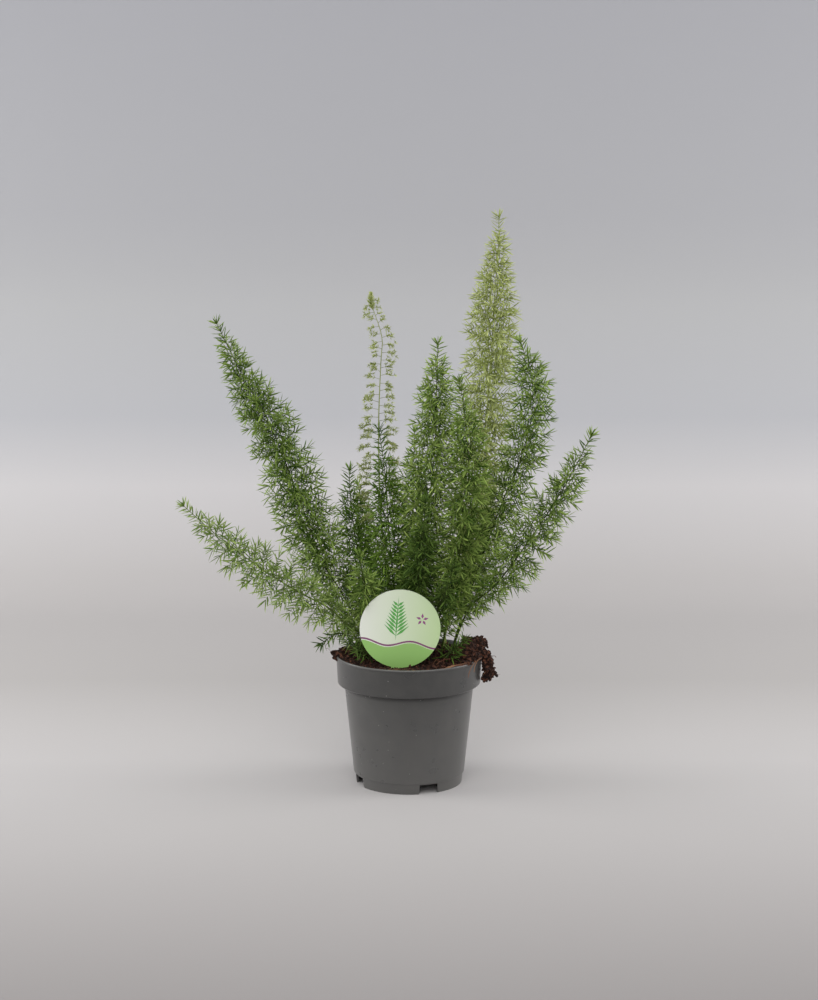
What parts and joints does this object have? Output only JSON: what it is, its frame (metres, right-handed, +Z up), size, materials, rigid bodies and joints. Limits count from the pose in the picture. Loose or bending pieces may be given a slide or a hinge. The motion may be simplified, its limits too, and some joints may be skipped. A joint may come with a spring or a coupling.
{
  "type": "potted foxtail fern",
  "caption": "Foxtail fern with upright and arching needle plumes in a round grey nursery pot with a stepped rim, filled with peat, with a round plant label on a stake.",
  "frame": {"origin": "centre of the pot's underside, on the ground plane", "axes": "+Z up along the pot's axis, -Y towards the front, where the label stands, +X to the right as seen from the front"},
  "size_m": [0.3339, 0.2115, 0.4664],
  "materials": {
    "pot_plastic": "moulded grey polypropylene with a soft sheen and light scuffs",
    "peat": "damp dark peat with coir fibres",
    "label_plastic": "printed plastic card, satin",
    "leaf_light": "lighter green needles, faintly waxy",
    "leaf_mid": "fresh green needles, faintly waxy",
    "leaf_dark": "dark green needles, faintly waxy",
    "leaf_pale": "young yellow-green needles"
  },
  "bodies": {
    "root": {"pot": "pot_plastic", "soil": "peat", "label": "label_plastic", "plume_low_left": "leaf_light", "sprig_rim_left": "leaf_light", "plume_tall_left": "leaf_mid", "plume_tall_centre": "leaf_mid", "plume_curved_right": "leaf_mid", "plume_far_right": "leaf_mid", "plume_front_right": "leaf_mid", "plume_front_left": "leaf_mid", "plume_front_centre": "leaf_mid", "plume_back_left": "leaf_mid", "plume_back_right": "leaf_mid", "sprig_label_right": "leaf_mid", "sprig_base_left": "leaf_mid", "sprig_base_right": "leaf_mid", "plume_short_left": "leaf_dark", "plume_dark_centre": "leaf_dark", "plume_back_centre": "leaf_dark", "plume_tall_pale": "leaf_pale", "shoot_young": "leaf_pale"}
  },
  "joints": []
}
